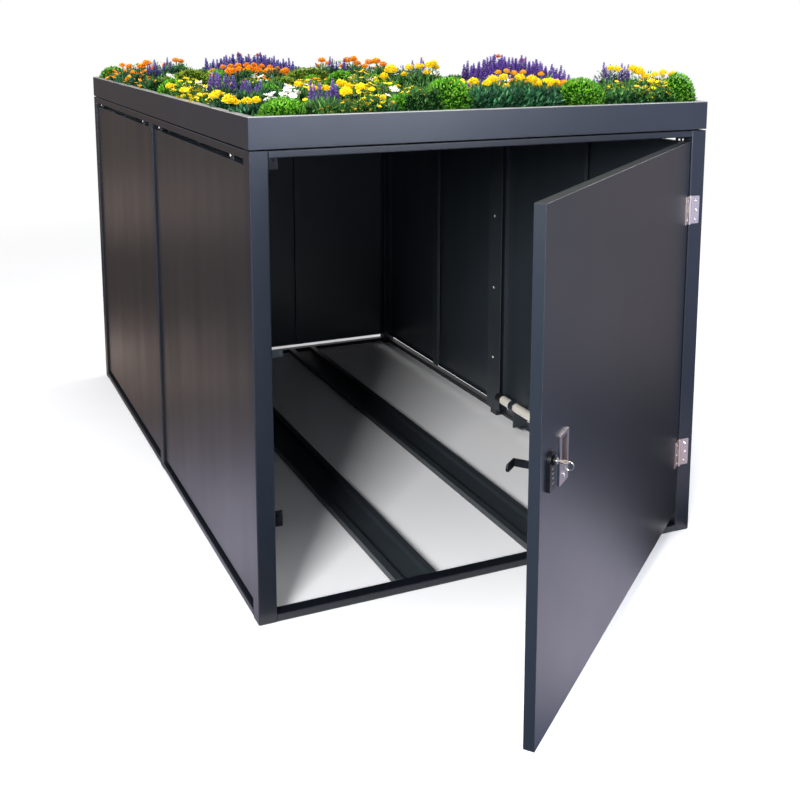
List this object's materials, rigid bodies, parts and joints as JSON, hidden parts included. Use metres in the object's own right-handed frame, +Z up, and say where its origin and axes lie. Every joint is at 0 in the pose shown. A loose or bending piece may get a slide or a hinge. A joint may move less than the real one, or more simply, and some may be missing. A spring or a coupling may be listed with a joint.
{
  "type": "bicycle locker",
  "caption": "Steel locker for two bicycles with a planted roof tray, one wide side-hung door with a combination cam lock and pull, wheel channels on open ground and a securing bar.",
  "frame": {"origin": "middle of the underside of the front sill, on the ground", "axes": "+X to the right seen from the door, +Y into the locker, +Z up"},
  "size_m": [1.38, 3.1141, 1.4355],
  "materials": {
    "coat": "satin anthracite powder coat",
    "coat_inner": "matte dark powder coat",
    "stainless": "brushed",
    "bar": "satin zinc plate",
    "black_metal": "satin black",
    "black_plastic": "matte",
    "soil": "matte mineral growing medium",
    "plants": "matte foliage and flowers"
  },
  "bodies": {
    "locker": {"post_front_left": "coat", "post_front_right": "coat", "post_mid_left": "coat", "post_mid_right": "coat", "post_rear_left": "coat", "post_rear_right": "coat", "front_top_rail": "coat", "front_sill": "coat", "rear_top_rail": "coat", "rear_bottom_rail": "coat", "top_rail_left": "coat", "top_rail_right": "coat", "bottom_rail_left_front": "coat", "bottom_rail_left_rear": "coat", "bottom_rail_right_front": "coat", "bottom_rail_right_rear": "coat", "side_panel_left_front": "coat", "side_panel_left_rear": "coat", "side_panel_right_front": "coat", "side_panel_right_rear": "coat", "rear_panel": "coat", "planter_tray": "coat", "panel_stiffener_left_front": "coat_inner", "panel_stiffener_left_rear": "coat_inner", "panel_stiffener_right_front": "coat_inner", "panel_stiffener_right_rear": "coat_inner", "mid_cover_strip_left": "coat_inner", "mid_cover_strip_right": "coat_inner", "roof_beam_front": "coat_inner", "roof_beam_mid": "coat_inner", "roof_beam_rear": "coat_inner", "wheel_channel_left": "coat_inner", "wheel_channel_right": "coat_inner", "bar_bracket_front": "coat_inner", "bar_bracket_rear": "coat_inner", "lock_keeper": "coat_inner", "top_corner_bracket_left": "black_metal", "top_corner_bracket_right": "black_metal", "door_buffer": "black_metal", "soil": "soil", "flower_bed_front": "plants", "flower_bed_rear": "plants", "securing_bar": "bar", "securing_bar_cap": "black_plastic", "hinge_upper_post_leaf": "stainless", "hinge_lower_post_leaf": "stainless"},
    "door": {"door_panel": "coat", "door_liner": "coat_inner", "hinge_upper_door_leaf": "stainless", "hinge_lower_door_leaf": "stainless", "lock_housing": "black_metal", "pull_plate": "stainless"},
    "lock": {"lock_knob": "black_metal", "lock_cam": "black_metal"},
    "key": {"key": "stainless"},
    "key_ring": {"key_ring": "stainless"},
    "dial_1": {"dial_1": "black_plastic"},
    "dial_2": {"dial_2": "black_plastic"},
    "dial_3": {"dial_3": "black_plastic"},
    "dial_4": {"dial_4": "black_plastic"}
  },
  "joints": [
    {"name": "door_swing", "type": "hinge", "parent": "locker", "child": "door", "pos_m": [0.6385, -0.03, 0.63], "axis": [0, 0, 1], "range_deg": [-39.3, 130.7]},
    {"name": "lock_turn", "type": "hinge", "parent": "door", "child": "lock", "pos_m": [-0.30446, -0.80568, 0.68], "axis": [-0.6334, 0.7738, 0], "range_deg": [0, 90]},
    {"name": "key_slide", "type": "slide", "parent": "lock", "child": "key", "axis": [0.6334, -0.7738, 0], "range_m": [0, 0.03]},
    {"name": "ring_swing", "type": "hinge", "parent": "key", "child": "key_ring", "pos_m": [-0.2878, -0.82603, 0.68], "axis": [-0.7738, -0.6334, 0], "range_deg": [0, 84]},
    {"name": "dial_1_turn", "type": "hinge", "parent": "door", "child": "dial_1", "pos_m": [-0.30877, -0.80042, 0.6321], "axis": [0, 0, 1], "continuous": true},
    {"name": "dial_2_turn", "type": "hinge", "parent": "door", "child": "dial_2", "pos_m": [-0.30877, -0.80042, 0.6424], "axis": [0, 0, 1], "continuous": true},
    {"name": "dial_3_turn", "type": "hinge", "parent": "door", "child": "dial_3", "pos_m": [-0.30877, -0.80042, 0.6527], "axis": [0, 0, 1], "continuous": true},
    {"name": "dial_4_turn", "type": "hinge", "parent": "door", "child": "dial_4", "pos_m": [-0.30877, -0.80042, 0.663], "axis": [0, 0, 1], "continuous": true}
  ]
}
